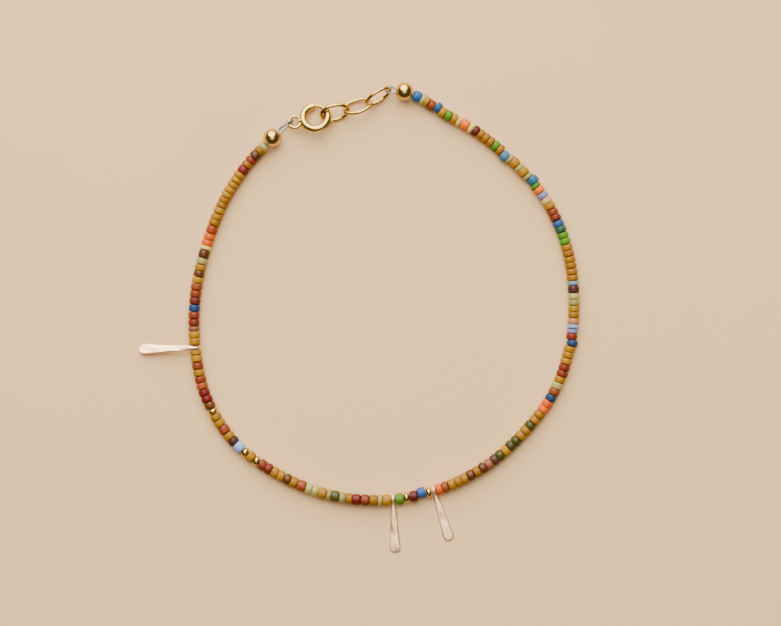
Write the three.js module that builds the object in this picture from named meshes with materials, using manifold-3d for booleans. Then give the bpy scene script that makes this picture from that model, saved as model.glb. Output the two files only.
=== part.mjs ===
// A seed bead bracelet with a spring ring clasp, a three-link extender and three small paddle drops,
// lying open on a table. Millimetres, +Z up. The origin is under the middle of the whole bracelet,
// on the table; +Y runs towards the clasp.

import * as THREE from 'three';
import { mergeVertices } from 'three/addons/utils/BufferGeometryUtils.js';
import Module from 'manifold-3d';

// ---- Driving dimensions -------------------------------------------------------------------------

const BEAD_RADIUS = 1.0;            // size 11 seed bead
const BEAD_NECK = 0.62;             // radius at a bead's end face, as a share of the bead's radius
const BEAD_SHOULDER = 0.27;         // where the full radius starts, as a share of the bead's length
const BEAD_SHIFT = 0.3;             // how far a bead can sit off the thread's line
const THREAD_RADIUS = 0.18;
const RUN_GAP = 0.03;               // left at each end of a run, so that neighbours don't touch
const WIDTHS = { bead: 1.12, wide: 1.45, narrow: 0.78, spacer: 1.08, drop: 0.8 };

// A spacer's radius at its middle, shoulder and end face. shoulderAt is a share of its half length.
const SPACER = { radius: 0.95, shoulder: 0.88, face: 0.59, bore: 0.3, shoulderAt: 0.55, sides: 12 };

const COVER = { radius: 1.575, hollow: 1.2, mouth: 0.72, seam: 0.14, seamTurn: 60 };
const CRIMP = { radius: 0.5, length: 1.4 };
// Tip is how far the loop reaches past the middle of its hook, and turned is how far before that
// middle its twist is done.
const LOOP = { wire: 0.19, leg: 0.24, mouth: 1.35, tip: 0.63, turned: 0.5, steps: 48 };
// The hook's outline: how far past its middle, and half width.
const HOOK = [[-0.45, 0.56], [0, 0.62], [0.4, 0.43]];

const RING = { radius: 2.15, tube: 0.64, channel: 0.36 };
const SLOT_WIDTH = 0.42;
const TONGUE_RADIUS = 0.3;
const LEVER = { stem: 0.26, head: 0.26, from: 2.85, to: 3.2 };  // from and to: out from the axis
const COLLAR = { radius: 0.5, from: 2.55, to: 3.0 };            // between the ring and its eye
const EYE = { radius: 1.05, wire: 0.29, reach: 3.65 };
const LINK = { length: 5.35, width: 3.8, wire: 0.31 };

// A drop's eye starts and ends at these angles round the thread, from the outside of the loop: up and
// over for a stem that leaves the eye's foot, down and under for one that leaves its crown.
const DROP_EYE = { radius: 0.7, wire: 0.27, steps: 16, footTurn: [-20, 270], crownTurn: [5, 279] };
const DROP_TIP_HEIGHT = 0.32;       // a drop that lies across the strand rests on its tip
const DROP_LEAN_BY = 0.35;          // the share of its reach by which a blade has turned to its lean

// Angles on the clasp ring, in degrees, counted from the extender's side.
const CLASP = {
  gapFrom: 38, gapTo: 83,           // the opening that the tongue closes
  cutPast: 5,                       // the channel's cuts run on into the opening
  channelEnd: -94,                  // the bottom of the spring's channel
  socketEnd: 89,                    // the blind socket that takes the tongue's tip
  slotFrom: -21, slotTo: -93,       // the slit that the lever runs in
  lever: -31,
  tongueTail: -38, tongueTip: 86,
};

// ---- The strand's route -------------------------------------------------------------------------

const ROUTE_CENTRE = new THREE.Vector2(4.25, 4.08);
// One row for each point of the thread's line: bearing about the route's centre in degrees, distance
// from it, and height. It starts in the chain-side cover, runs clockwise and ends in the other cover.
const ROUTE = [
  [84.2, 35.0, 1.575], [79, 34.2, 1.15], [72, 32.8, 1.025], [60, 32.15, 1.004], [45, 31.8, 1.0],
  [30, 32.2, 1.0], [15, 32.45, 1.0], [0, 32.65, 1.0], [-15, 33.2, 1.0], [-30, 33.75, 1.0],
  [-45, 33.85, 1.0], [-60, 34.4, 1.0], [-75, 34.9, 1.0], [-90, 35.45, 1.0], [-105, 35.8, 1.0],
  [-120, 35.95, 1.0], [-135, 36.2, 1.0], [-150, 35.35, 1.0], [-165, 33.65, 1.0],
  [-180, 32.4, 1.0], [-195, 31.65, 1.0], [-210, 31.85, 1.004], [-222, 32.3, 1.025],
  [-229, 32.6, 1.15], [-234.5, 33.0, 1.575],
];

// The stringing chart, from the chain-side cover round to the clasp-side cover. A row is one run of
// beads, and ends is how far along the thread it ends; the last run ends at the cover. A word is a
// bead of that glass, a gold spacer or a drop's eye: + is wide, - narrow, ^ sits out of line, _ sits
// in, and *3 means three alike.
const STRAND_START = 1.62;
const THREAD_IN_COVER = 0.95;
const RUNS = [
  { ends: 14.6, beads: 'blue+ mint- ochre- brick cobalt^ ochre grass ochre cream- coral+ cream- maroon' },
  { ends: 26.3, beads: 'ochre*3 grass ochre steel+_ mint- ochre+ mint- ochre+ mint-' },
  { ends: 39.5, beads: 'teal+^ grass- coral lavender cream ochre brick*2 cobalt forest grass*2' },
  { ends: 51.2, beads: 'ochre*6 sky- plum+ mint*2 ochre' },
  { ends: 63.7, beads: 'ochre peach sky- lavender- crimson navy^ ochre*3 crimson brick ochre' },
  { ends: 75.6, beads: 'mint brick navy coral*2 ochre*2 olive ochre*2' },
  { ends: 90.3, beads: 'olive*2 ochre olive plum pink rootbeer ochre rootbeer ochre*3' },
  { ends: 100.5, beads: 'brick coral drop spacer cobalt+_ maroon+ spacer grass+ drop' },
  { ends: 115.4, beads: 'ochre+ mint- ochre+ brick+ crimson+ ochre mint olive+ mint- ochre+ mint*2' },
  { ends: 129.7, beads: 'brick+ ochre umber ochre*2 crimson brick spacer ochre spacer periwinkle+' },
  { ends: 144.2, beads: 'plum ochre brick+ ochre*2 spacer rootbeer crimson*2 rust brick ochre' },
  { ends: 159.1, beads: 'brick ochre ochre- drop ochre*2 pink- brick*2 navy maroon brick*2' },
  { ends: 172.7, beads: 'ochre umber ochre mint umber+ cream- coral*2 rust+ ochre*3' },
  { beads: 'ochre*7 crimson+ ochre rust umber+ ochre mint' },
];

// The drops in the order that the chart meets them: the bearing that each points in, how far its tip
// is from the thread, whether its stem leaves the eye's foot or its crown, and how far its blade
// leans over on its long axis.
const DROPS = [
  { name: 'drop_right', bearing: -72, reach: 9.0, over: false, lean: 0 },
  { name: 'drop_middle', bearing: -87.5, reach: 9.2, over: false, lean: 0 },
  { name: 'drop_left', bearing: 181.5, reach: 9.7, over: true, lean: 16 },
];
// The paddle's outline: share of the reach, half width, half thickness.
const PADDLE = [
  [0.12, 0.45, 0.23], [0.23, 0.54, 0.21], [0.4, 0.62, 0.19], [0.57, 0.71, 0.17], [0.75, 0.83, 0.16],
  [0.89, 0.95, 0.15], [0.95, 0.86, 0.14], [0.985, 0.6, 0.13], [1.0, 0.26, 0.12],
];

// Where the hard pieces of the fastening lie: centre, then yaw, pitch and roll in degrees. Each roll
// differs from its neighbour's, which is what lets one link pass through the next.
const PLACES = {
  clasp: { at: [-7.52, 34.48, 1.42], yaw: 13, pitch: 0, roll: -20 },
  extender_link_1: { at: [-4.2, 35.3, 1.42], yaw: 12, pitch: 0, roll: 45 },
  extender_link_2: { at: [-0.3, 36.35, 1.6], yaw: 15, pitch: 5, roll: -45 },
  extender_link_3: { at: [3.25, 38.0, 1.85], yaw: 33, pitch: 3, roll: 65 },
};
// The end fittings. A cover's axis points at its wire loop. The loop bends where it leaves the cover,
// so it has a yaw, pitch and roll of its own, and hook is how far from the cover's centre it passes
// round the piece that it holds. Twist is how far its two legs turn about each other on the way there.
const ENDS = [
  { side: 'chain_side', along: 0, axis: 170, hook: 2.59, yaw: 174, pitch: 3.5, roll: 8, twist: 0 },
  { side: 'clasp_side', along: 1, axis: 45, hook: 3.92, yaw: 41, pitch: -2, roll: 8, twist: 63 },
];

// How finely the curves are cut: degrees from one section of a bent wire to the next, the sides of
// each wire and barrel, and the faces around and down a ball.
const STEP = { ring: 15, tongue: 12, link: 10 };
const SIDES = { wire: 8, ring: 12, channel: 10, loop: 6, barrel: 10, mouth: 12 };
const BALL = { around: 20, down: 12 };

// ---- Shapes -------------------------------------------------------------------------------------

const UP = new THREE.Vector3(0, 0, 1);
const ALONG = new THREE.Vector3(1, 0, 0);

// A ring of points round a centre. The outline is a list of [across, other] pairs, where the other
// axis is square to the direction of travel and to across.
function section(centre, travel, across, outline) {
  const side = across.clone().addScaledVector(travel, -across.dot(travel)).normalize();
  const other = travel.clone().cross(side);
  return outline.map(([x, y]) => centre.clone().addScaledVector(side, x).addScaledVector(other, y));
}

// Joins a list of sections into one closed skin. An open one is shut with a flat fan at each end.
function loft(sections, closed = false) {
  const count = sections[0].length;
  const last = closed ? sections.length : sections.length - 1;
  const index = [];
  for (let row = 0; row < last; row += 1) {
    const next = (row + 1) % sections.length;
    for (let i = 0; i < count; i += 1) {
      const j = (i + 1) % count;
      const [a, b, c, d] = [row * count + i, row * count + j, next * count + i, next * count + j];
      index.push(a, b, d, a, d, c);
    }
  }
  const end = (sections.length - 1) * count;
  for (let i = 1; !closed && i < count - 1; i += 1) {
    index.push(0, i + 1, i, end, end + i, end + i + 1);
  }
  const geometry = new THREE.BufferGeometry().setFromPoints(sections.flat());
  geometry.setIndex(index);
  return geometry;
}

// A round wire's outline, its corners on the circle.
function round(radius, sides = SIDES.wire) {
  return Array.from({ length: sides }, (_, i) => {
    const angle = ((i + 0.5) / sides) * 2 * Math.PI;
    return [radius * Math.cos(angle), radius * Math.sin(angle)];
  });
}

// An eight-sided bar's outline: half width a and half thickness b, flat on all four sides.
function bar(a, b) {
  const cut = (2 - Math.SQRT2) * Math.min(a, b);
  return [
    [a, cut - b], [a, b - cut], [a - cut, b], [cut - a, b],
    [-a, b - cut], [-a, cut - b], [cut - a, -b], [a - cut, -b],
  ];
}

// A wire swept along a list of points. Across is square to the wire: one direction where the points
// lie in a plane, or a list of one for each point.
function wire(points, across, outline, closed = false) {
  const count = points.length;
  const sections = points.map((point, i) => {
    const before = points[closed ? (i + count - 1) % count : Math.max(i - 1, 0)];
    const after = points[closed ? (i + 1) % count : Math.min(i + 1, count - 1)];
    const travel = after.clone().sub(before).normalize();
    return section(point, travel, Array.isArray(across) ? across[i] : across, outline);
  });
  return loft(sections, closed);
}

// Points of an arc about the origin in the XY plane, with a step of about `step` degrees.
function arc(radius, from, to, step) {
  const steps = Math.max(1, Math.round(Math.abs(to - from) / step));
  return Array.from({ length: steps + 1 }, (_, i) => {
    const angle = THREE.MathUtils.degToRad(from + ((to - from) * i) / steps);
    return new THREE.Vector3(radius * Math.cos(angle), radius * Math.sin(angle), 0);
  });
}

// ---- Joins and cuts -----------------------------------------------------------------------------

const wasm = await Module();
wasm.setup();

function solid(geometry) {
  const plain = geometry.clone();
  plain.deleteAttribute('normal');
  plain.deleteAttribute('uv');
  const merged = mergeVertices(plain, 1e-5);
  return new wasm.Manifold(new wasm.Mesh({
    numProp: 3,
    vertProperties: Float32Array.from(merged.attributes.position.array),
    triVerts: Uint32Array.from(merged.index.array),
  }));
}

function skin(manifold) {
  const mesh = manifold.getMesh();
  const geometry = new THREE.BufferGeometry();
  geometry.setAttribute('position', new THREE.BufferAttribute(mesh.vertProperties, 3));
  geometry.setIndex(new THREE.BufferAttribute(mesh.triVerts, 1));
  return geometry;
}

// ---- Finishes -----------------------------------------------------------------------------------

const finish = (color, roughness, metalness) => (
  new THREE.MeshStandardMaterial({ color, roughness, metalness })
);
const FINISH = {
  beads: finish(0xb87f22, 0.35, 0),
  gold: finish(0xd9b26a, 0.15, 1),
  paddle: finish(0xe6c5a6, 0.25, 1),
  beadingWire: finish(0xb9bbbd, 0.3, 1),
};

const bracelet = new THREE.Group();

function add(name, geometry, material, parent = bracelet) {
  const piece = new THREE.Mesh(geometry, material);
  piece.name = name;
  parent.add(piece);
  return piece;
}

function place(object, { at, yaw, pitch, roll }) {
  const [x, y, z] = [roll, -pitch, yaw].map(THREE.MathUtils.degToRad);
  object.position.set(...at);
  object.rotation.set(x, y, z, 'ZYX');
}

// ---- The thread's line --------------------------------------------------------------------------

const routePoints = ROUTE.map(([bearing, distance, height]) => {
  const angle = THREE.MathUtils.degToRad(bearing);
  return new THREE.Vector3(
    ROUTE_CENTRE.x + distance * Math.cos(angle), ROUTE_CENTRE.y + distance * Math.sin(angle), height,
  );
});
const route = new THREE.CatmullRomCurve3(routePoints, false, 'catmullrom', 0.5);
route.arcLengthDivisions = 4000;
const routeLength = route.getLength();

// The thread's place at a distance along it: the point, the way it runs, and its left hand side.
// The route runs clockwise, so its left hand side is the outside of the loop.
function onRoute(along) {
  const share = THREE.MathUtils.clamp(along / routeLength, 0, 1);
  const travel = route.getTangentAt(share);
  return { point: route.getPointAt(share), travel, outward: UP.clone().cross(travel).normalize() };
}

// ---- The stringing chart ------------------------------------------------------------------------

// Reads one row of the chart, and stretches its words to fill the run from start to end.
function readRun(text, start, end) {
  const items = text.split(' ').flatMap((word) => {
    const [, kind, marks, times] = word.match(/^([a-z]+)([-+^_]*)(?:\*(\d+))?$/);
    const size = marks.includes('+') ? 'wide' : marks.includes('-') ? 'narrow' : 'bead';
    const width = WIDTHS[kind] ?? WIDTHS[size];
    const shift = marks.includes('^') ? BEAD_SHIFT : marks.includes('_') ? -BEAD_SHIFT : 0;
    return Array.from({ length: Number(times ?? 1) }, () => ({ kind, width, shift }));
  });
  const stretch = (end - start) / items.reduce((sum, item) => sum + item.width, 0);
  let along = start;
  for (const item of items) {
    item.from = along;
    along += item.width * stretch;
    item.to = along;
  }
  return items;
}

const isBead = (item) => item.kind !== 'spacer' && item.kind !== 'drop';

// One run of beads on their thread: each bead is a neck, two shoulders and a neck, and the thread
// runs bare through a spacer or a drop's eye, and into the cover at each end of the strand.
function strandGeometry(items, isFirst, isLast) {
  const stations = [];
  const station = (along, radius, shift = 0) => stations.push({ along, radius, shift });
  const neck = BEAD_NECK * BEAD_RADIUS;
  if (isFirst) {
    station(THREAD_IN_COVER, THREAD_RADIUS);
    station(items[0].from, THREAD_RADIUS);
  }
  items.forEach((item, i) => {
    const [before, after] = [items[i - 1], items[i + 1]];
    if (!isBead(item)) {
      station(item.from, THREAD_RADIUS);
      station(item.to, THREAD_RADIUS);
      return;
    }
    if (!before || !isBead(before)) {
      station(item.from + RUN_GAP, neck, item.shift);
    }
    const shoulder = BEAD_SHOULDER * (item.to - item.from);
    station(item.from + shoulder, BEAD_RADIUS, item.shift);
    station(item.to - shoulder, BEAD_RADIUS, item.shift);
    if (after && isBead(after)) {
      station(item.to, neck, (item.shift + after.shift) / 2);
    } else {
      station(item.to - RUN_GAP, neck, item.shift);
    }
  });
  if (isLast) {
    station(items.at(-1).to, THREAD_RADIUS);
    station(routeLength - THREAD_IN_COVER, THREAD_RADIUS);
  }
  return loft(stations.map(({ along, radius, shift }) => {
    const { point, travel, outward } = onRoute(along);
    return section(point.addScaledVector(outward, shift), travel, outward, bar(radius, radius));
  }));
}

// A gold spacer: a rounded rondelle with a hole, turned about X.
function spacerGeometry(length) {
  const { radius, shoulder, face, bore, shoulderAt, sides } = SPACER;
  const half = length / 2 - RUN_GAP;
  const turn = shoulderAt * half;
  const profile = [
    [bore, -half], [face, -half], [shoulder, -turn], [radius, 0],
    [shoulder, turn], [face, half], [bore, half], [bore, -half],
  ].map(([x, y]) => new THREE.Vector2(x, y));
  return new THREE.LatheGeometry(profile, sides).rotateZ(-Math.PI / 2);
}

// A paddle drop: one wire, curled into an eye round the thread and hammered out to a blade. The eye
// stands square to the thread; the stem turns to the drop's own bearing and runs down to the table.
function dropGeometry({ bearing, reach, over, lean }, { point, travel, outward }) {
  const way = THREE.MathUtils.degToRad(bearing);
  const along = new THREE.Vector3(Math.cos(way), Math.sin(way), 0);
  const thread = new THREE.Vector3(travel.x, travel.y, 0).normalize();
  const sign = over ? -1 : 1;
  const sections = [];
  const [eyeFrom, eyeTo] = over ? DROP_EYE.crownTurn : DROP_EYE.footTurn;
  for (let step = 0; step <= DROP_EYE.steps; step += 1) {
    const turn = eyeFrom + ((eyeTo - eyeFrom) * step) / DROP_EYE.steps;
    const angle = THREE.MathUtils.degToRad(turn);
    const [c, s] = [Math.cos(angle), Math.sin(angle)];
    const centre = point.clone().addScaledVector(outward, DROP_EYE.radius * c)
      .addScaledVector(UP, sign * DROP_EYE.radius * s);
    const run = outward.clone().multiplyScalar(-s).addScaledVector(UP, sign * c);
    sections.push(section(centre, run, thread, round(DROP_EYE.wire)));
  }
  const crown = point.z - DROP_EYE.radius * Math.sin(THREE.MathUtils.degToRad(eyeTo));
  const fall = crown - DROP_TIP_HEIGHT;
  for (const [share, halfWidth, halfThickness] of PADDLE) {
    const centre = point.clone().addScaledVector(along, reach * share);
    centre.z = over ? crown - fall * share : halfThickness;
    const run = over ? along.clone().setZ(-fall / reach).normalize() : along;
    const turned = THREE.MathUtils.degToRad(lean) * Math.min(share / DROP_LEAN_BY, 1);
    const across = thread.clone().applyAxisAngle(run, turned);
    sections.push(section(centre, run, across, bar(halfWidth, halfThickness)));
  }
  return loft(sections);
}

let runStart = STRAND_START;
const strandEnd = routeLength - STRAND_START;
let spacersMade = 0;
let dropsMade = 0;
RUNS.forEach(({ ends = strandEnd, beads }, i) => {
  const items = readRun(beads, runStart, ends);
  const name = `strand_${String(i + 1).padStart(2, '0')}`;
  add(name, strandGeometry(items, i === 0, i === RUNS.length - 1), FINISH.beads);
  for (const item of items.filter((one) => !isBead(one))) {
    const there = onRoute((item.from + item.to) / 2);
    if (item.kind === 'spacer') {
      spacersMade += 1;
      const spacer = add(`gold_spacer_${spacersMade}`, spacerGeometry(item.to - item.from), FINISH.gold);
      const yaw = THREE.MathUtils.radToDeg(Math.atan2(there.travel.y, there.travel.x));
      place(spacer, { at: there.point.toArray(), yaw, pitch: 0, roll: 180 / SPACER.sides });
    } else {
      const drop = DROPS[dropsMade];
      dropsMade += 1;
      add(drop.name, dropGeometry(drop, there), FINISH.paddle);
    }
  }
  runStart = ends;
});

// ---- The clasp ----------------------------------------------------------------------------------

// The spring ring: a tube bent to a ring that stops short at its opening, with the spring's channel
// inside it, a slit for the lever, and a soldered eye on a short collar.
function ringGeometry() {
  const { gapFrom, gapTo, cutPast, channelEnd, socketEnd, slotFrom, slotTo } = CLASP;
  const tube = (from, to, radius, sides) => (
    solid(wire(arc(RING.radius, from, to, STEP.ring), UP, round(radius, sides)))
  );
  const slot = arc(RING.radius + RING.tube, slotFrom, slotTo, STEP.ring);
  const eyeLine = arc(EYE.radius, 0, 360 - STEP.ring, STEP.ring);
  const eye = wire(eyeLine, UP, round(EYE.wire), true).translate(-EYE.reach, 0, 0);
  const collarLength = COLLAR.to - COLLAR.from;
  const collar = new THREE.CylinderGeometry(COLLAR.radius, COLLAR.radius, collarLength, SIDES.barrel)
    .rotateZ(Math.PI / 2).translate(-(COLLAR.from + COLLAR.to) / 2, 0, 0);
  return skin(
    tube(gapTo, gapFrom + 360, RING.tube, SIDES.ring)
      .subtract(tube(channelEnd, gapFrom + cutPast, RING.channel, SIDES.channel))
      .subtract(tube(gapTo - cutPast, socketEnd, RING.channel, SIDES.channel))
      .subtract(solid(wire(slot, UP, bar(SLOT_WIDTH / 2, RING.tube))))
      .add(solid(eye))
      .add(solid(collar)),
  );
}

// The slider: the curved tongue that closes the ring, with the thumb lever that draws it back.
function sliderGeometry() {
  const { lever, tongueTail, tongueTip } = CLASP;
  const bend = arc(RING.radius, tongueTail, tongueTip, STEP.tongue);
  const tongue = wire(bend, UP, round(TONGUE_RADIUS));
  const post = new THREE.BoxGeometry(LEVER.to - RING.radius, LEVER.stem, LEVER.stem)
    .translate((LEVER.to + RING.radius) / 2, 0, 0);
  const headLength = LEVER.to - LEVER.from;
  const head = new THREE.CylinderGeometry(LEVER.head, LEVER.head, headLength, SIDES.barrel)
    .rotateZ(Math.PI / 2).translate((LEVER.to + LEVER.from) / 2, 0, 0);
  const turn = THREE.MathUtils.degToRad(lever);
  return skin(
    solid(tongue).add(solid(post.rotateZ(turn))).add(solid(head.rotateZ(turn))),
  );
}

const clasp = new THREE.Group();
place(clasp, PLACES.clasp);
bracelet.add(clasp);
add('clasp_ring', ringGeometry(), FINISH.gold, clasp);
add('clasp_slider', sliderGeometry(), FINISH.gold, clasp);

// ---- The extender chain -------------------------------------------------------------------------

// An oval link of round wire.
function linkGeometry() {
  const halves = new THREE.Vector3(LINK.length / 2 - LINK.wire, LINK.width / 2 - LINK.wire, 1);
  const oval = arc(1, 0, 360 - STEP.link, STEP.link).map((point) => point.multiply(halves));
  return wire(oval, UP, round(LINK.wire), true);
}

for (const name of ['extender_link_1', 'extender_link_2', 'extender_link_3']) {
  place(add(name, linkGeometry(), FINISH.gold), PLACES[name]);
}

// ---- The end fittings ---------------------------------------------------------------------------

// A crimp cover: a thin shell closed to a ball round the crimp, open where the thread and the wire
// loop pass, with its closing seam low on one side. Its axis is X.
function coverGeometry() {
  const ball = (radius) => (
    solid(new THREE.SphereGeometry(radius, BALL.around, BALL.down).rotateX(Math.PI / 2))
  );
  const across = 4 * COVER.radius;
  const bore = new THREE.CylinderGeometry(COVER.mouth, COVER.mouth, across, SIDES.mouth)
    .rotateZ(Math.PI / 2);
  const seam = new THREE.BoxGeometry(across, COVER.seam, COVER.radius * 2)
    .translate(0, 0, -COVER.radius).rotateX(THREE.MathUtils.degToRad(COVER.seamTurn));
  const shell = ball(COVER.radius).subtract(ball(COVER.hollow));
  return skin(shell.subtract(solid(bore)).subtract(solid(seam)));
}

// The crimp, with the loop of beading wire that comes out of it and goes round the next piece.
function wireLoopGeometry(hook, twist) {
  const { leg, mouth, tip } = LOOP;
  const turned = (vector, x) => {
    const share = THREE.MathUtils.smoothstep(x, mouth, hook - LOOP.turned);
    return vector.applyAxisAngle(ALONG, THREE.MathUtils.degToRad(twist * share));
  };
  const out = [[0, leg], [mouth, leg], ...HOOK.map(([past, half]) => [hook + past, half])];
  const back = out.toReversed().map(([x, y]) => [x, -y]);
  const points = [...out, [hook + tip, 0], ...back].map(([x, y]) => new THREE.Vector3(x, y, 0));
  const line = new THREE.CatmullRomCurve3(points).getSpacedPoints(LOOP.steps);
  const across = line.map(({ x }) => turned(UP.clone(), x));
  const twisted = line.map((point) => turned(point.clone(), point.x));
  const crimp = new THREE.CylinderGeometry(CRIMP.radius, CRIMP.radius, CRIMP.length, SIDES.barrel)
    .rotateZ(Math.PI / 2);
  return skin(solid(wire(twisted, across, round(LOOP.wire, SIDES.loop))).add(solid(crimp)));
}

for (const { side, along, axis, hook, yaw, pitch, roll, twist } of ENDS) {
  const at = onRoute(along * routeLength).point.toArray();
  place(add(`cover_${side}`, coverGeometry(), FINISH.gold), { at, yaw: axis, pitch: 0, roll: 0 });
  const loop = add(`wire_loop_${side}`, wireLoopGeometry(hook, twist), FINISH.beadingWire);
  place(loop, { at, yaw, pitch, roll });
}

export default bracelet;
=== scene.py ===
import math
import random
import re

import bmesh
import bpy
from mathutils import Matrix, Vector, geometry, noise


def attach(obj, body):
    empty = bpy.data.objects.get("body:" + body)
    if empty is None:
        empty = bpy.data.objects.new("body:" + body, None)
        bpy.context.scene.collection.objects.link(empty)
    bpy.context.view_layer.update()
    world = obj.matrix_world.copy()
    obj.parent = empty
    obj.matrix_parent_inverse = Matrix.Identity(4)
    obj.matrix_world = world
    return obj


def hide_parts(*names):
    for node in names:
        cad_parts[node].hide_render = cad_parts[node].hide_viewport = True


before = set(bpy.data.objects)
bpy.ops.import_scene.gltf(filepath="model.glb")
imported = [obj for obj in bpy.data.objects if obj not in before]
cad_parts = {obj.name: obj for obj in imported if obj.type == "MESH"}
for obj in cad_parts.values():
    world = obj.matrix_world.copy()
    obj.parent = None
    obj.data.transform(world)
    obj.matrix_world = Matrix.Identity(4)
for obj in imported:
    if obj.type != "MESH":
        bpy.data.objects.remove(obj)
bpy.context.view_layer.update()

# ---- Thread -------------------------------------------------------------------------------------
# One fine thread carries the whole strand. It leaves the crimp on the extender's side, runs clockwise
# round the loop through every bead, and ends in the crimp on the clasp's side. Sizes are in millimetres.

MM = 0.001                          # in the scene's metres
UP = Vector((0, 0, 1))
ROUTE_CENTRE = Vector((4.25, 4.08, 0))
# Bearing about the centre in degrees, distance from it, height.
ROUTE = [
    (84.2, 35.0, 1.575), (79, 34.2, 1.15), (72, 32.8, 1.025), (60, 32.15, 1.004), (45, 31.8, 1.0),
    (30, 32.2, 1.0), (15, 32.45, 1.0), (0, 32.65, 1.0), (-15, 33.2, 1.0), (-30, 33.75, 1.0),
    (-45, 33.85, 1.0), (-60, 34.4, 1.0), (-75, 34.9, 1.0), (-90, 35.45, 1.0), (-105, 35.8, 1.0),
    (-120, 35.95, 1.0), (-135, 36.2, 1.0), (-150, 35.35, 1.0), (-165, 33.65, 1.0),
    (-180, 32.4, 1.0), (-195, 31.65, 1.0), (-210, 31.85, 1.004), (-222, 32.3, 1.025),
    (-229, 32.6, 1.15), (-234.5, 33.0, 1.575),
]
STEPS_PER_KNOT = 170
THREAD_RADIUS = 0.18
THREAD_IN_COVER = 0.95
THREAD_STEP = 0.9
THREAD_SIDES = 8
NEAR = 0.02                         # how far either side of a spot the thread's direction is read


def smooth_line(knots, steps):
    """A smooth line through the knots, as closely spaced points."""
    first, last = 2 * knots[0] - knots[1], 2 * knots[-1] - knots[-2]
    around = [first, *knots, last]
    line = []
    for before, start, end, after in zip(around, around[1:], around[2:], around[3:]):
        leave = start + (end - before) / 6
        arrive = end - (after - start) / 6
        line += geometry.interpolate_bezier(start, leave, arrive, end, steps + 1)[:-1]
    return [*line, knots[-1]]


route = smooth_line(
    [
        ROUTE_CENTRE + Matrix.Rotation(math.radians(bearing), 3, "Z") @ Vector((distance, 0, height))
        for bearing, distance, height in ROUTE
    ],
    STEPS_PER_KNOT,
)
route_marks = [0.0]
for here, ahead in zip(route, route[1:]):
    route_marks.append(route_marks[-1] + (ahead - here).length)
ROUTE_LENGTH = route_marks[-1]


def route_point(along):
    """The thread's centre at a distance along it."""
    low, high = 0, len(route) - 1
    while high - low > 1:
        middle = (low + high) // 2
        low, high = (middle, high) if route_marks[middle] <= along else (low, middle)
    share = (along - route_marks[low]) / (route_marks[high] - route_marks[low])
    return route[low].lerp(route[high], share)


def on_thread(along, shift=0.0):
    """Stands a shape on the thread: X runs along it, Y points out of the loop, shift moves it out."""
    travel = (route_point(along + NEAR) - route_point(along - NEAR)).normalized()
    out = UP.cross(travel).normalized()
    turn = Matrix((travel, out, travel.cross(out))).transposed().to_4x4()
    return Matrix.Translation(route_point(along) + out * shift) @ turn


def facing(point, travel, across):
    """Stands a wire's section at a point: Z runs along the wire and X lies across it."""
    z = travel.normalized()
    x = (across - across.dot(z) * z).normalized()
    return Matrix.Translation(point) @ Matrix((x, z.cross(x), z)).transposed().to_4x4()


def drawn_wire(bm, stations, sides, closed=False):
    """Draws a round section through the stations; each is a placement that may also scale it."""
    ring = bmesh.ops.create_circle(bm, cap_ends=not closed, segments=sides, radius=1)["verts"]
    bmesh.ops.transform(bm, matrix=stations[0], verts=ring)
    made = list(ring)
    first = edges = list({edge for vert in ring for edge in vert.link_edges})
    for before, station in zip(stations, stations[1:]):
        grown = bmesh.ops.extrude_edge_only(bm, edges=edges)["geom"]
        verts = [part for part in grown if isinstance(part, bmesh.types.BMVert)]
        edges = [
            part for part in grown
            if isinstance(part, bmesh.types.BMEdge) and all(vert in verts for vert in part.verts)
        ]
        bmesh.ops.transform(bm, matrix=station @ before.inverted(), verts=verts)
        made += verts
    if closed:
        bmesh.ops.bridge_loops(bm, edges=edges + first)
    else:
        bmesh.ops.contextual_create(bm, geom=edges)
    return made


def wire_stations(points, across, radius, closed=False):
    """Stations of a wire of one thickness along points that lie in a plane square to across."""
    count = len(points)
    stations = []
    for i, point in enumerate(points):
        behind = points[(i - 1) % count if closed else max(i - 1, 0)]
        ahead = points[(i + 1) % count if closed else min(i + 1, count - 1)]
        stations.append(facing(point, ahead - behind, across) @ Matrix.Diagonal((radius, radius, 1, 1)))
    return stations


# ---- Glass seed beads ---------------------------------------------------------------------------
# Size 11 rocailles, cut from drawn glass tube and tumbled hot, so each is a short fat ring with
# rounded ends. Most are opaque, some are clear; lengths, colours and tilts differ from bead to bead.

BEAD_RADIUS = 1.0
BEAD_TURNS = 10
# A bead's wall, from its hole out and back: share of its half length, share of its radius.
BEAD_WALL = [
    (-0.72, 0.4), (-1.04, 0.58), (-0.94, 0.97), (-0.45, 1.05),
    (0.45, 1.05), (0.94, 0.97), (1.04, 0.58), (0.72, 0.4),
]
BEAD_SWELL = 1.02                   # makes up for what smoothing takes off the wall
BEAD_GAP = 0.012
BEAD_SHIFT = 0.3
BEAD_TILT = 5                       # degrees
WIDTHS = {"bead": 1.12, "wide": 1.45, "narrow": 0.78, "spacer": 1.08, "drop": 0.8}
STRAND_START = 1.62

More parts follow.
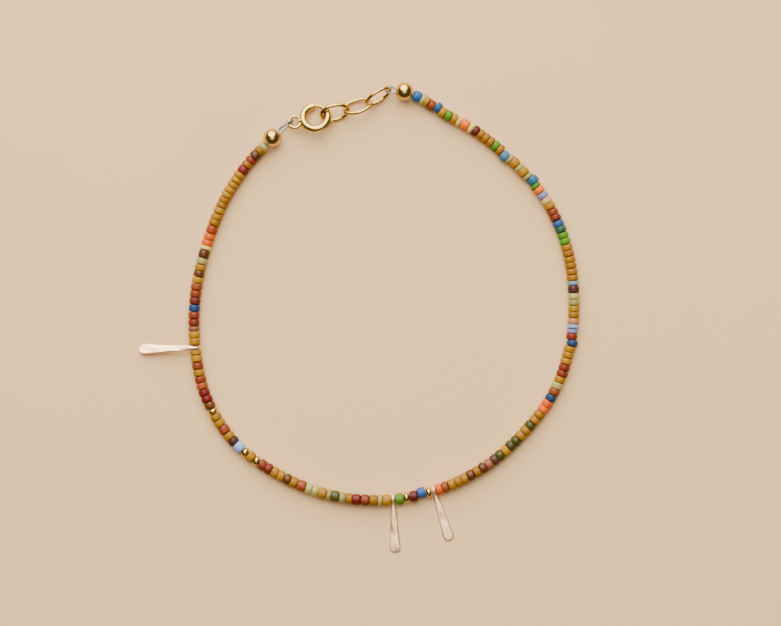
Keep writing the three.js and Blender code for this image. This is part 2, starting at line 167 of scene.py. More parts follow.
# The glasses: colour, and whether the glass is clear.
GLASSES = {
    "ochre": ((0.29, 0.125, 0.002), False),
    "brick": ((0.19, 0.035, 0.008), False),
    "mint": ((0.44, 0.4, 0.11), True),
    "coral": ((0.62, 0.09, 0.001), False),
    "crimson": ((0.15, 0.012, 0.005), False),
    "grass": ((0.07, 0.18, 0.006), False),
    "olive": ((0.07, 0.07, 0.004), True),
    "cream": ((0.56, 0.38, 0.08), False),
    "umber": ((0.12, 0.04, 0.005), True),
    "cobalt": ((0.02, 0.075, 0.2), False),
    "maroon": ((0.1, 0.012, 0.006), False),
    "plum": ((0.06, 0.02, 0.012), False),
    "navy": ((0.014, 0.035, 0.1), False),
    "rootbeer": ((0.14, 0.035, 0.003), True),
    "rust": ((0.24, 0.035, 0.006), False),
    "lavender": ((0.18, 0.16, 0.34), False),
    "sky": ((0.16, 0.28, 0.42), False),
    "pink": ((0.24, 0.08, 0.045), False),
    "blue": ((0.02, 0.09, 0.24), False),
    "steel": ((0.042, 0.125, 0.2), False),
    "teal": ((0.03, 0.12, 0.2), False),
    "forest": ((0.03, 0.1, 0.05), False),
    "peach": ((0.36, 0.13, 0.05), False),
    "periwinkle": ((0.21, 0.31, 0.56), False),
}

# The stringing chart, from the extender's side round to the clasp's. A row is one run, with how far
# along the thread it ends. + is a wide bead, - narrow, ^ sits out of line, _ sits in, *3 is three alike.
RUNS = [
    (14.6, "blue+ mint- ochre- brick cobalt^ ochre grass ochre cream- coral+ cream- maroon"),
    (26.3, "ochre*3 grass ochre steel+_ mint- ochre+ mint- ochre+ mint-"),
    (39.5, "teal+^ grass- coral lavender cream ochre brick*2 cobalt forest grass*2"),
    (51.2, "ochre*6 sky- plum+ mint*2 ochre"),
    (63.7, "ochre peach sky- lavender- crimson navy^ ochre*3 crimson brick ochre"),
    (75.6, "mint brick navy coral*2 ochre*2 olive ochre*2"),
    (90.3, "olive*2 ochre olive plum pink rootbeer ochre rootbeer ochre*3"),
    (100.5, "brick coral drop spacer cobalt+_ maroon+ spacer grass+ drop"),
    (115.4, "ochre+ mint- ochre+ brick+ crimson+ ochre mint olive+ mint- ochre+ mint*2"),
    (129.7, "brick+ ochre umber ochre*2 crimson brick spacer ochre spacer periwinkle+"),
    (144.2, "plum ochre brick+ ochre*2 spacer rootbeer crimson*2 rust brick ochre"),
    (159.1, "brick ochre ochre- drop ochre*2 pink- brick*2 navy maroon brick*2"),
    (172.7, "ochre umber ochre mint umber+ cream- coral*2 rust+ ochre*3"),
    (ROUTE_LENGTH - STRAND_START, "ochre*7 crimson+ ochre rust umber+ ochre mint"),
]


def read_run(chart, start, end):
    """Each thing on one run: its kind, where it starts and ends, and how far it sits off the line."""
    things = []
    for word in chart.split():
        kind, marks, times = re.fullmatch(r"([a-z]+)([-+^_]*)(?:\*(\d+))?", word).groups()
        size = "wide" if "+" in marks else "narrow" if "-" in marks else "bead"
        shift = BEAD_SHIFT if "^" in marks else -BEAD_SHIFT if "_" in marks else 0
        things += [(kind, WIDTHS.get(kind, WIDTHS[size]), shift)] * int(times or 1)
    stretch = (end - start) / sum(width for _, width, _ in things)
    placed = []
    for kind, width, shift in things:
        placed.append((kind, start, start + width * stretch, shift))
        start += width * stretch
    return placed


class Shade:
    """One socket of a finish's nodes. Sums on it add Math nodes, and node() adds any other."""

    def __init__(self, tree, socket=None):
        self.tree = tree
        self.socket = socket

    def node(self, kind, settings=None, sockets=None, out=0):
        made = self.tree.nodes.new(kind)
        for name, value in (settings or {}).items():
            if name == "stops":
                ramp = made.color_ramp.elements
                while len(ramp) < len(value):
                    ramp.new(1)
                for stop, (place, colour) in zip(ramp, value):
                    stop.position = place
                    stop.color = colour
            else:
                setattr(made, name, value)
        for name, value in (sockets or {}).items():
            if isinstance(value, Shade):
                self.tree.links.new(value.socket, made.inputs[name])
            else:
                made.inputs[name].default_value = value
        return Shade(self.tree, made.outputs[out]) if made.outputs else None

    def sum(self, operation, left, right):
        return self.node("ShaderNodeMath", {"operation": operation}, {0: left, 1: right})

    def __add__(self, other):
        return self.sum("ADD", self, other)

    def __mul__(self, other):
        return self.sum("MULTIPLY", self, other)

    __radd__ = __add__
    __rmul__ = __mul__


def new_finish(name):
    """A bare finish, with the piece's own coordinates in metres for its patterns to read."""
    finish = bpy.data.materials.new(name)
    finish.use_nodes = True
    finish.node_tree.nodes.clear()
    return finish, Shade(finish.node_tree).node("ShaderNodeTexCoord", out="Object")


def surface(place, sockets):
    """Ends a finish in one surface with these sockets."""
    shell = place.node("ShaderNodeBsdfPrincipled", sockets=sockets)
    place.node("ShaderNodeOutputMaterial", sockets={"Surface": shell})


def grain(place, scale, detail=2.0):
    """Soft noise from 0 to 1, with about this many patches to a metre."""
    return place.node("ShaderNodeTexNoise", sockets={"Vector": place, "Scale": scale, "Detail": detail})


def bead_glass(name, clear):
    """Bead glass, coloured by each bead's own tint, and shifted a little by its own tone."""
    finish, place = new_finish(name)
    tint = place.node("ShaderNodeAttribute", {"attribute_name": "glass_tint"}, out="Color")
    tone = place.node("ShaderNodeAttribute", {"attribute_name": "glass_tone"}, out="Fac")
    streaks = grain(place, 700)
    colour = place.node("ShaderNodeHueSaturation", sockets={
        "Hue": tone * 0.016 + 0.492,
        "Value": tone * 0.4 + streaks * 0.3 + 0.66,
        "Color": tint,
    })
    dimples = grain(place, 2600, 1.0)
    surface(place, {
        "Base Color": colour,
        "Roughness": streaks * 0.16 + (0.24 if clear else 0.32),
        "IOR": 1.5,
        "Specular IOR Level": 0.2,
        "Transmission Weight": 0.35 if clear else 0.0,
        "Coat Weight": 0.06,
        "Coat Roughness": 0.15,
        "Normal": place.node("ShaderNodeBump", sockets={
            "Strength": 0.12, "Distance": 0.0001, "Height": dimples,
        }),
    })
    return finish


opaque_glass = bead_glass("opaque bead glass", False)
clear_glass = bead_glass("clear bead glass", True)

thread_finish, place = new_finish("waxed thread")
surface(place, {
    "Base Color": place.node("ShaderNodeMix", {"data_type": "RGBA"}, {
        0: grain(place, 3000), 6: (0.2, 0.15, 0.09, 1), 7: (0.42, 0.34, 0.24, 1),
    }, out=2),
    "Roughness": 0.6,
})


def finished_piece(bm, name, finishes, smoothing=0):
    """Makes the piece's object, in metres, with smooth faces that point outwards."""
    bmesh.ops.recalc_face_normals(bm, faces=bm.faces)
    bmesh.ops.scale(bm, vec=(MM, MM, MM), verts=bm.verts)
    mesh = bpy.data.meshes.new(name)
    bm.to_mesh(mesh)
    bm.free()
    mesh.shade_smooth()
    for finish in finishes:
        mesh.materials.append(finish)
    piece = bpy.data.objects.new(name, mesh)
    bpy.context.scene.collection.objects.link(piece)
    if smoothing:
        smoother = piece.modifiers.new("smooth", "SUBSURF")
        smoother.levels = smoother.render_levels = smoothing
    return piece


def spun(bm, outline, turns):
    """Spins a closed outline of (along, out) a whole turn about X, and gives back its points."""
    before = set(bm.verts)
    points = [bm.verts.new((along, out, 0)) for along, out in outline]
    sides = [bm.edges.new(pair) for pair in zip(points, points[1:] + points[:1])]
    bmesh.ops.spin(
        bm, geom=points + sides, cent=(0, 0, 0), axis=(1, 0, 0),
        angle=math.tau, steps=turns, use_merge=True,
    )
    return [point for point in bm.verts if point not in before]


bead_luck = random.Random(11)


def string_bead(bm, tint_layer, tone_layer, kind, start, end, shift):
    """Spins one bead and strings it on the thread, a little tilted, in its own glass."""
    half = (end - start) / 2 - BEAD_GAP
    radius = BEAD_RADIUS * bead_luck.uniform(0.965, 1.0) * BEAD_SWELL
    faces_before = set(bm.faces)
    bead = spun(bm, [(half * x * BEAD_SWELL, radius * r) for x, r in BEAD_WALL], BEAD_TURNS)
    tilt = [math.radians(bead_luck.uniform(-BEAD_TILT, BEAD_TILT)) for _ in range(2)]
    turn = Matrix.Rotation(bead_luck.uniform(0, math.tau), 4, "X")
    lean = Matrix.Rotation(tilt[0], 4, "Z") @ Matrix.Rotation(tilt[1], 4, "Y")
    bmesh.ops.transform(bm, matrix=on_thread((start + end) / 2, shift) @ lean @ turn, verts=bead)
    colour, clear = GLASSES[kind]
    tone = bead_luck.random()
    for point in bead:
        point[tint_layer] = (*colour, 1)
        point[tone_layer] = tone
    for face in bm.faces:
        if face not in faces_before:
            face.material_index = 1 if clear else 0


spacer_spans = []
drop_spots = []
run_start = STRAND_START
for number, (run_end, chart) in enumerate(RUNS, 1):
    bm = bmesh.new()
    tint_layer = bm.verts.layers.float_color.new("glass_tint")
    tone_layer = bm.verts.layers.float.new("glass_tone")
    for kind, start, end, shift in read_run(chart, run_start, run_end):
        if kind == "spacer":
            spacer_spans.append((start, end))
        elif kind == "drop":
            drop_spots.append((start + end) / 2)
        else:
            string_bead(bm, tint_layer, tone_layer, kind, start, end, shift)
    thread_from = THREAD_IN_COVER if number == 1 else run_start
    thread_to = ROUTE_LENGTH - THREAD_IN_COVER if number == len(RUNS) else run_end
    beads_done = set(bm.faces)
    steps = round((thread_to - thread_from) / THREAD_STEP)
    spots = [thread_from + (thread_to - thread_from) * step / steps for step in range(steps + 1)]
    drawn_wire(bm, [
        on_thread(spot) @ Matrix.Rotation(math.pi / 2, 4, "Y")
        @ Matrix.Diagonal((THREAD_RADIUS, THREAD_RADIUS, 1, 1)) for spot in spots
    ], THREAD_SIDES)
    for face in bm.faces:
        if face not in beads_done:
            face.material_index = 2
    node = f"strand_{number:02d}"
    strand = finished_piece(
        bm, f"beads_{number:02d}", [opaque_glass, clear_glass, thread_finish], smoothing=1,
    )
    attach(strand, "bracelet")
    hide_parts(node)
    run_start = run_end

# ---- Gold spacer beads --------------------------------------------------------------------------
# Five small seamless gold-filled rondelles, strung among the glass beads. Each is a thin wall rolled
# over at both holes, polished, and a hair smaller than its neighbours.

SPACER_RADIUS = 0.93
SPACER_WALL = [
    (-0.8, 0.36), (-1.0, 0.6), (-0.62, 0.93), (0, 1.05), (0.62, 0.93), (1.0, 0.6), (0.8, 0.36),
]
SPACER_GAP = 0.04
SPACER_TURNS = 16


def polished_gold(name, bright, deep, rough):
    """Gold-filled metal: two close golds in soft patches, fine wear in its polish, faint ripples."""
    finish, place = new_finish(name)
    patches = grain(place, 500)
    wear = grain(place, 4200, 4.0)
    surface(place, {
        "Base Color": place.node("ShaderNodeMix", {"data_type": "RGBA"}, {
            0: patches, 6: (*bright, 1), 7: (*deep, 1),
        }, out=2),
        "Metallic": 1.0,
        "Roughness": wear * 0.12 + rough,
        "Normal": place.node("ShaderNodeBump", sockets={
            "Strength": 0.15, "Distance": 0.00005, "Height": patches * 0.7 + wear * 0.3,
        }),
    })
    return finish


gold_filled = polished_gold("gold filled", (0.66, 0.46, 0.12), (0.56, 0.36, 0.08), 0.14)

for number, (start, end) in enumerate(spacer_spans, 1):
    bm = bmesh.new()
    half = (end - start) / 2 - SPACER_GAP
    spun(bm, [(half * x, SPACER_RADIUS * r) for x, r in SPACER_WALL], SPACER_TURNS)
    bmesh.ops.transform(bm, matrix=on_thread((start + end) / 2), verts=bm.verts)
    spacer = finished_piece(bm, f"spacer_{number}", [gold_filled], smoothing=2)
    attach(spacer, "bracelet")
    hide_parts(f"gold_spacer_{number}")

# ---- Hammered paddle drops ----------------------------------------------------------------------
# Each is one length of pale gold-filled wire, curled into an eye round the thread and hammered out
# flat to a rounded paddle. The hammer has left shallow long facets on the blade.

EYE_RADIUS = 0.7
EYE_WIRE = 0.27
EYE_STEPS = 28
TIP_HEIGHT = 0.32
LEAN_BY = 0.35                      # the share of its reach by which a blade has turned to its lean
# Which way the drop points, its reach, whether the stem leaves over the strand, the eye's two ends,
# and how far the blade leans over on its long axis.
DROPS = [
    ("drop_right", -72, 9.0, False, -20, 270, 0),
    ("drop_middle", -87.5, 9.2, False, -20, 270, 0),
    ("drop_left", 181.5, 9.7, True, 5, 279, 16),
]
# Share of the reach, half width, half thickness.
PADDLE = [
    (0.0, 0.27, 0.27), (0.12, 0.45, 0.23), (0.23, 0.54, 0.21), (0.4, 0.62, 0.19), (0.57, 0.71, 0.17),
    (0.75, 0.83, 0.16), (0.89, 0.95, 0.15), (0.95, 0.86, 0.14), (0.985, 0.6, 0.13), (1.0, 0.26, 0.1),
]
BLADE_STEPS = 46
BLADE_SIDES = 32
BLADE_CROWDING = 1.35               # above 1, the stations crowd together towards the tip
HAMMERED_FROM = 0.15                # the share of its reach at which the hammering starts
FLATTEN = 0.62
FLATTEN_EDGE = 0.8                  # under 1, the flat turns over more sharply at its edges
DENT = 0.13                         # how deep the hammer's facets go
DENT_SPACING = Vector((0.85, 2.0, 1.0))

hammered_gold = polished_gold("hammered gold", (0.98, 0.68, 0.4), (0.97, 0.62, 0.35), 0.32)


def between(rows, share):
    """Half width and half thickness of the paddle at this share of its reach."""
    for (from_share, *low), (to_share, *high) in zip(rows, rows[1:]):
        if share <= to_share:
            part = (share - from_share) / (to_share - from_share)
            return [a + (b - a) * part for a, b in zip(low, high)]
    return rows[-1][1:]


for spot, (node, bearing, reach, over, eye_from, eye_to, lean) in zip(drop_spots, DROPS):
    bm = bmesh.new()
    stand = on_thread(spot)
    centre = stand.translation
    travel = stand.col[0].to_3d()
    out = stand.col[1].to_3d()
    flat_travel = Vector((travel.x, travel.y, 0)).normalized()
    blade_way = Matrix.Rotation(math.radians(bearing), 3, "Z") @ Vector((1, 0, 0))
    sign = -1 if over else 1
    stations = []
    for step in range(EYE_STEPS + 1):
        angle = math.radians(eye_from + (eye_to - eye_from) * step / EYE_STEPS)
        point = centre + out * EYE_RADIUS * math.cos(angle) + UP * sign * EYE_RADIUS * math.sin(angle)
        run = -out * math.sin(angle) + UP * sign * math.cos(angle)
        stations.append(facing(point, run, flat_travel) @ Matrix.Diagonal((EYE_WIRE, EYE_WIRE, 1, 1)))
    crown = centre.z - EYE_RADIUS * math.sin(math.radians(eye_to))
    for step in range(1, BLADE_STEPS + 1):
        share = 1 - (1 - step / BLADE_STEPS) ** BLADE_CROWDING
        half_width, half_thickness = between(PADDLE, share)
        point = centre + blade_way * reach * share
        point.z = crown - (crown - TIP_HEIGHT) * share if over else half_thickness
        run = blade_way - UP * ((crown - TIP_HEIGHT) / reach if over else 0)
        stations.append(
            facing(point, run, flat_travel) @ Matrix.Diagonal((half_width, half_thickness, 1, 1))
        )
    drawn_wire(bm, stations, BLADE_SIDES)
    across = UP.cross(blade_way)
    for vert in bm.verts:
        offset = vert.co - centre
        down_blade = offset.dot(blade_way)
        if down_blade < HAMMERED_FROM * reach:
            continue
        share = min(down_blade / reach, 1)
        middle = crown - (crown - TIP_HEIGHT) * share if over else between(PADDLE, share)[1]
        half_thickness = between(PADDLE, share)[1]
        height = (vert.co.z - middle) / half_thickness
        level = math.copysign(min(abs(height) / FLATTEN, 1) ** FLATTEN_EDGE, height)
        facet = Vector((offset.dot(across) / DENT_SPACING.x, down_blade / DENT_SPACING.y, bearing))
        fade = min((share - HAMMERED_FROM) / HAMMERED_FROM, 1)
        vert.co.z += half_thickness * (level - height) * fade
        if height > 0:
            vert.co.z += DENT * fade * noise.noise(facet) * level
        core = centre + blade_way * down_blade
        core.z = middle
        leaning = math.radians(lean) * min(share / LEAN_BY, 1)
        vert.co = core + Matrix.Rotation(leaning, 3, run) @ (vert.co - core)
    drop = finished_piece(bm, f"paddle_{node}", [hammered_gold])
    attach(drop, "bracelet")
    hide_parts(node)

# ---- Crimp covers -------------------------------------------------------------------------------
# A round gold-filled cover is squeezed shut over each crimp, like a bead. Its thin shell keeps a fine
# seam where the two lips meet, turned down to the table, and an opening for the wire at each end.

COVER_RADIUS = 1.575
COVER_WALL = 0.2
COVER_LIP = 0.06
COVER_MOUTH = 0.72
COVER_SEAM = 5                      # degrees left open between the lips
COVER_SEAM_BEARING = -30            # which way the seam faces, from the cover's side, down
COVER_ARC_STEPS = 20
COVER_TURNS = 60


def placed(centre, yaw, pitch=0.0, roll=0.0):
    """A placement from a centre, and yaw, pitch and roll in degrees."""
    turns = [math.radians(angle) for angle in (yaw, -pitch, roll)]
    turn = Matrix.Rotation(turns[0], 4, "Z") @ Matrix.Rotation(turns[1], 4, "Y")
    return Matrix.Translation(centre) @ turn @ Matrix.Rotation(turns[2], 4, "X")


cover_centres = {"chain_side": route_point(0), "clasp_side": route_point(ROUTE_LENGTH)}
COVER_YAWS = {"chain_side": 170, "clasp_side": 45}

mouth_angle = math.asin(COVER_MOUTH / COVER_RADIUS)
for side, centre in cover_centres.items():
    bm = bmesh.new()
    arc = []
    for step in range(COVER_ARC_STEPS + 1):
        angle = mouth_angle + (math.pi - 2 * mouth_angle) * step / COVER_ARC_STEPS
        arc.append(bm.verts.new((COVER_RADIUS * math.cos(angle), COVER_RADIUS * math.sin(angle), 0)))
    rib = [bm.edges.new(pair) for pair in zip(arc, arc[1:])]
    bmesh.ops.rotate(
        bm, verts=bm.verts, cent=(0, 0, 0),
        matrix=Matrix.Rotation(math.radians(COVER_SEAM_BEARING + COVER_SEAM / 2), 3, "X"),
    )
    bmesh.ops.spin(
        bm, geom=arc + rib, cent=(0, 0, 0), axis=(1, 0, 0),
        angle=math.radians(360 - COVER_SEAM), steps=COVER_TURNS,
    )
    bmesh.ops.transform(bm, matrix=placed(centre, COVER_YAWS[side]), verts=bm.verts)
    cover = finished_piece(bm, f"ball_cover_{side}", [gold_filled])
    wall = cover.modifiers.new("wall", "SOLIDIFY")
    wall.thickness = COVER_WALL * MM
    wall.offset = -1
    lip = cover.modifiers.new("rounded lips", "BEVEL")
    lip.width = COVER_LIP * MM
    lip.segments = 3
    lip.limit_method = "ANGLE"
    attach(cover, "bracelet")
    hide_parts(f"cover_{side}")

# ---- Wire loops ---------------------------------------------------------------------------------
# The thread's ends are crimped to a short loop of beading wire at each side: seven fine steel strands
# twisted and coated in clear nylon. One loop holds the extender's last link, the other the clasp's eye.

LOOP_WIRE = 0.19
LOOP_LEG = 0.24
LOOP_MOUTH = 1.35
LOOP_TIP = 0.63
LOOP_STEPS = 9
HOOK = [(-0.45, 0.56), (0, 0.62), (0.4, 0.43)]
LOOP_LOBES = 6
POINTS_PER_LOBE = 4
LOOP_LOBE_DEPTH = 0.07
LOOP_SIDES = LOOP_LOBES * POINTS_PER_LOBE
LOOP_LAY = 24                       # how far the strands turn from one station to the next, degrees
CRIMP_RADIUS = 0.5
CRIMP_HALF = 0.7
CRIMP_WALL = 0.12
CRIMP_TURNS = 24
LOOP_TURNED = 0.5                   # how far short of the hook the twist between the legs is done
# Where each loop hooks on past its cover's centre, its yaw, pitch and roll, and its legs' twist.
LOOPS = {"chain_side": (2.59, 174, 3.5, 8, 0), "clasp_side": (3.92, 41, -2, 8, 63)}

beading_wire, place = new_finish("nylon coated wire")
strands = grain(place, 5200, 3.0)
surface(place, {
    "Base Color": place.node("ShaderNodeMix", {"data_type": "RGBA"}, {
        0: strands, 6: (0.16, 0.18, 0.21, 1), 7: (0.34, 0.36, 0.39, 1),
    }, out=2),
    "Metallic": 0.75,
    "Roughness": strands * 0.2 + 0.25,
    "Coat Weight": 0.6,
    "Coat Roughness": 0.15,
})

for side, (hook, yaw, pitch, roll, twist) in LOOPS.items():
    bm = bmesh.new()
    leaving = [(0, LOOP_LEG), (LOOP_MOUTH, LOOP_LEG), *[(hook + past, half) for past, half in HOOK]]
    returning = [(along, -half) for along, half in reversed(leaving)]
    knots = [Vector((along, half, 0)) for along, half in [*leaving, (hook + LOOP_TIP, 0), *returning]]
    stations = []
    for station in wire_stations(smooth_line(knots, LOOP_STEPS), UP, LOOP_WIRE):
        share = (station.translation.x - LOOP_MOUTH) / (hook - LOOP_TURNED - LOOP_MOUTH)
        share = min(max(share, 0), 1)
        legs_turn = math.radians(twist * share * share * (3 - 2 * share))
        stations.append(Matrix.Rotation(legs_turn, 4, "X") @ station)
    laid = [
        station @ Matrix.Rotation(math.radians(LOOP_LAY * number), 4, "Z")
        for number, station in enumerate(stations)
    ]
    drawn_wire(bm, laid, LOOP_SIDES)
    for number, vert in enumerate(bm.verts):
        wave = math.cos(math.tau * (number % LOOP_SIDES) / POINTS_PER_LOBE)
        lobe = 1 + LOOP_LOBE_DEPTH * (wave - 1) / 2
        centre = stations[min(number // LOOP_SIDES, len(stations) - 1)].translation
        vert.co = centre + (vert.co - centre) * lobe
    spun(bm, [
        (-CRIMP_HALF, CRIMP_RADIUS - CRIMP_WALL), (-CRIMP_HALF, CRIMP_RADIUS),
        (CRIMP_HALF, CRIMP_RADIUS), (CRIMP_HALF, CRIMP_RADIUS - CRIMP_WALL),
    ], CRIMP_TURNS)
    bmesh.ops.transform(bm, matrix=placed(cover_centres[side], yaw, pitch, roll), verts=bm.verts)
    loop = finished_piece(bm, f"beading_loop_{side}", [beading_wire])
    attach(loop, "bracelet")
    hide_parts(f"wire_loop_{side}")

# ---- Extender links -----------------------------------------------------------------------------
# Three oval links of round gold-filled wire, each cut from a coil, closed through the one before and
# soldered, which leaves a faint bead of solder on one long side.

LINK_LENGTH = 5.35
LINK_WIDTH = 3.8
LINK_WIRE = 0.31
LINK_STEPS = 64
LINK_SIDES = 16
SOLDER = 0.035                      # how far the solder stands proud
SOLDER_HALF = 0.22
LINKS = {
    "extender_link_1": ((-4.2, 35.3, 1.42), 12, 0, 45),
    "extender_link_2": ((-0.3, 36.35, 1.6), 15, 5, -45),
    "extender_link_3": ((3.25, 38.0, 1.85), 33, 3, 65),
}

half_long = LINK_LENGTH / 2 - LINK_WIRE
half_wide = LINK_WIDTH / 2 - LINK_WIRE
for node, (centre, yaw, pitch, roll) in LINKS.items():
    bm = bmesh.new()
    oval = []
    for step in range(LINK_STEPS):
        angle = math.tau * step / LINK_STEPS
        oval.append(Vector((half_long * math.cos(angle), half_wide * math.sin(angle), 0)))
    drawn_wire(bm, wire_stations(oval, UP, LINK_WIRE, closed=True), LINK_SIDES, closed=True)
    for vert in bm.verts:
        if vert.co.y < 0:
            swell = SOLDER * math.exp(-((vert.co.x / SOLDER_HALF) ** 2))
            core = Vector((vert.co.x, -half_wide, 0))
            vert.co += (vert.co - core).normalized() * swell
    bmesh.ops.transform(bm, matrix=placed(centre, yaw, pitch, roll), verts=bm.verts)
    link = finished_piece(bm, f"oval_{node}", [gold_filled])
    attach(link, "bracelet")
    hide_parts(node)

# ---- Spring ring --------------------------------------------------------------------------------
# The clasp's body is a hollow gold-filled tube bent to a ring that stops short, with a slit along its
# outside for the lever and a small eye soldered on through a collar. A coil spring sits in the tube.

RING_RADIUS = 2.15
RING_TUBE = 0.64
RING_WALL = 0.27
RING_LIP = 0.04
RING_STEP = 3                       # degrees
GAP_FROM, GAP_TO = 38, 83
SLOT_FROM, SLOT_TO = -93, -21
SLOT_HALF = 0.2
RING_SIDES = 32
COLLAR_FROM, COLLAR_TO = 2.55, 3.0
COLLAR_RADIUS = 0.5
EYELET_RADIUS = 1.05
EYELET_WIRE = 0.29
EYELET_REACH = 3.65
EYELET_STEPS = 48
EYELET_SIDES = 18
COLLAR_TURNS = 24
CLASP = placed((-7.52, 34.48, 1.42), 13, 0, -20)

bm = bmesh.new()
tube = bmesh.ops.create_circle(bm, segments=RING_SIDES, radius=RING_TUBE)["verts"]
bmesh.ops.transform(
    bm, verts=tube,
    matrix=Matrix.Rotation(math.radians(GAP_TO), 4, "Z") @ Matrix.Translation((RING_RADIUS, 0, 0))
    @ Matrix.Rotation(math.pi / 2, 4, "X"),
)
sweep = GAP_FROM + 360 - GAP_TO
bmesh.ops.spin(
    bm, geom=list(bm.verts) + list(bm.edges), cent=(0, 0, 0), axis=(0, 0, 1),
    angle=math.radians(sweep), steps=sweep // RING_STEP,
)
slit = []
for face in bm.faces:
    middle = face.calc_center_median()
    bearing = math.degrees(math.atan2(middle.y, middle.x))
    if SLOT_FROM < bearing < SLOT_TO and abs(middle.z) < SLOT_HALF and middle.xy.length > RING_RADIUS:
        slit.append(face)
bmesh.ops.delete(bm, geom=slit, context="FACES")
bmesh.ops.transform(bm, matrix=CLASP, verts=bm.verts)
ring = finished_piece(bm, "spring_ring", [gold_filled])
wall = ring.modifiers.new("wall", "SOLIDIFY")
wall.thickness = RING_WALL * MM
wall.offset = -1
lip = ring.modifiers.new("rounded edges", "BEVEL")
lip.width = RING_LIP * MM
lip.segments = 2
lip.limit_method = "ANGLE"
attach(ring, "bracelet")
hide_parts("clasp_ring")

bm = bmesh.new()
eyelet = [
    Matrix.Rotation(math.tau * step / EYELET_STEPS, 3, "Z") @ Vector((EYELET_RADIUS, 0, 0))
    for step in range(EYELET_STEPS)
]
drawn_wire(bm, wire_stations(eyelet, UP, EYELET_WIRE, closed=True), EYELET_SIDES, closed=True)
bmesh.ops.translate(bm, verts=bm.verts, vec=(-EYELET_REACH, 0, 0))
collar_middle = (COLLAR_FROM + COLLAR_TO) / 2
collar_half = (COLLAR_TO - COLLAR_FROM) / 2
spun_collar = spun(bm, [
    (-collar_half, 0.1), (-collar_half, COLLAR_RADIUS * 0.9), (-collar_half * 0.4, COLLAR_RADIUS),
    (collar_half * 0.4, COLLAR_RADIUS), (collar_half, COLLAR_RADIUS * 1.15), (collar_half, 0.1),
], COLLAR_TURNS)
bmesh.ops.translate(bm, verts=spun_collar, vec=(-collar_middle, 0, 0))
bmesh.ops.transform(bm, matrix=CLASP, verts=bm.verts)
eyelet_piece = finished_piece(bm, "clasp_eyelet", [gold_filled])
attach(eyelet_piece, "bracelet")

# ---- Sprung tongue ------------------------------------------------------------------------------
# A curved solid tongue slides in the ring's tube and shuts its opening. The coil spring behind it
# pushes it home; a small round lever stands out through the slit to draw it back with a thumbnail.

TONGUE_RADIUS = 0.3
TONGUE_TAIL, TONGUE_TIP = -38, 86
TONGUE_STEPS = 42
TONGUE_SIDES = 20
LEVER_BEARING = -31
LEVER_STEM = 0.13
LEVER_FROM, LEVER_TO = 2.85, 3.2
LEVER_HEAD = 0.26
LEVER_TURNS = 24

bm = bmesh.new()
tongue = []
for step in range(TONGUE_STEPS + 1):
    bearing = math.radians(TONGUE_TAIL + (TONGUE_TIP - TONGUE_TAIL) * step / TONGUE_STEPS)
    tongue.append(Vector((RING_RADIUS * math.cos(bearing), RING_RADIUS * math.sin(bearing), 0)))
stations = wire_stations(tongue, UP, TONGUE_RADIUS)
stations[0] = stations[0] @ Matrix.Diagonal((0.8, 0.8, 1, 1))
stations[-1] = stations[-1] @ Matrix.Diagonal((0.7, 0.7, 1, 1))
drawn_wire(bm, stations, TONGUE_SIDES)
lever = spun(bm, [
    (RING_RADIUS, 0.02), (RING_RADIUS, LEVER_STEM), (LEVER_FROM, LEVER_STEM),
    (LEVER_FROM, LEVER_HEAD * 0.85), (LEVER_FROM + 0.1, LEVER_HEAD), (LEVER_TO - 0.12, LEVER_HEAD),
    (LEVER_TO - 0.03, LEVER_HEAD * 0.75), (LEVER_TO, LEVER_HEAD * 0.4), (LEVER_TO, 0.02),
], LEVER_TURNS)
bmesh.ops.rotate(
    bm, verts=lever, cent=(0, 0, 0), matrix=Matrix.Rotation(math.radians(LEVER_BEARING), 3, "Z"),
)
bmesh.ops.transform(bm, matrix=CLASP, verts=bm.verts)
slider = finished_piece(bm, "sprung_tongue", [gold_filled])
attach(slider, "clasp_slider")
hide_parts("clasp_slider")

# ---- Table, light and camera --------------------------------------------------------------------
# The bracelet lies on a plain cream table, lit by one wide soft window at the far side and a weak
# light from the ceiling, and is seen from straight above.

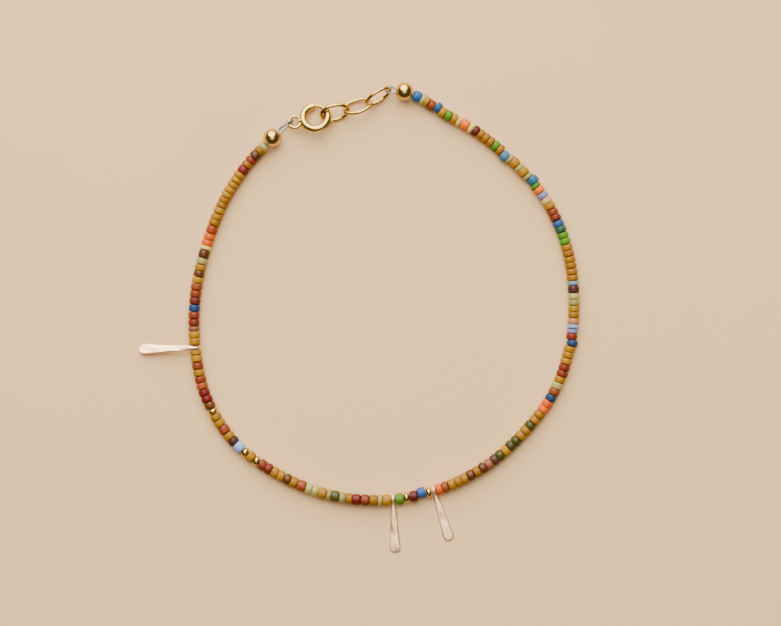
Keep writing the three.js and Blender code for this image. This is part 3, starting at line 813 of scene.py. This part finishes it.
TABLE_HALF = 3000
WINDOW_BEARING = 100                # degrees, from +X
WINDOW_LEAN = 50                    # degrees down from overhead
WINDOW_DISTANCE = 0.8
WINDOW_SIZE = 1.15
WINDOW_POWER = 26.5
CEILING_HEIGHT = 1.0
CEILING_SIZE = 0.8
CEILING_POWER = 4.2
CAMERA_LENS = 120
CAMERA_SPAN = 0.13466
CAMERA_AIM = Vector((0.00538, 0.00084, 0))

bm = bmesh.new()
bmesh.ops.create_grid(bm, x_segments=1, y_segments=1, size=TABLE_HALF)
table_finish, place = new_finish("cream table")
mottle = grain(place, 22, 5.0)
surface(place, {
    "Base Color": place.node("ShaderNodeMix", {"data_type": "RGBA"}, {
        0: mottle, 6: (0.77, 0.49, 0.22, 1), 7: (0.81, 0.52, 0.25, 1),
    }, out=2),
    "Roughness": 0.85,
})
table = finished_piece(bm, "table", [table_finish])

window_way = Matrix.Rotation(math.radians(WINDOW_BEARING), 3, "Z") @ Vector(
    (math.sin(math.radians(WINDOW_LEAN)), 0, math.cos(math.radians(WINDOW_LEAN)))
)
window_light = bpy.data.lights.new("window", "AREA")
window_light.energy = WINDOW_POWER
window_light.shape = "DISK"
window_light.size = WINDOW_SIZE
window_light.color = (1.0, 0.965, 0.92)
window = bpy.data.objects.new("window", window_light)
window.location = CAMERA_AIM + window_way * WINDOW_DISTANCE
window.rotation_euler = window_way.to_track_quat("Z", "Y").to_euler()
bpy.context.scene.collection.objects.link(window)

ceiling_light = bpy.data.lights.new("ceiling", "AREA")
ceiling_light.energy = CEILING_POWER
ceiling_light.shape = "DISK"
ceiling_light.size = CEILING_SIZE
ceiling_light.color = (1.0, 0.93, 0.85)
ceiling = bpy.data.objects.new("ceiling", ceiling_light)
ceiling.location = CAMERA_AIM + UP * CEILING_HEIGHT
bpy.context.scene.collection.objects.link(ceiling)

room = bpy.data.worlds.new("room")
room.use_nodes = True
room.node_tree.nodes["Background"].inputs["Color"].default_value = (1.0, 0.94, 0.87, 1)
room.node_tree.nodes["Background"].inputs["Strength"].default_value = 0.1
bpy.context.scene.world = room

camera_data = bpy.data.cameras.new("camera")
camera_data.lens = CAMERA_LENS
camera_data.sensor_width = 36
camera = bpy.data.objects.new("camera", camera_data)
camera.location = CAMERA_AIM + UP * CAMERA_SPAN * CAMERA_LENS / camera_data.sensor_width
bpy.context.scene.collection.objects.link(camera)
bpy.context.scene.camera = camera
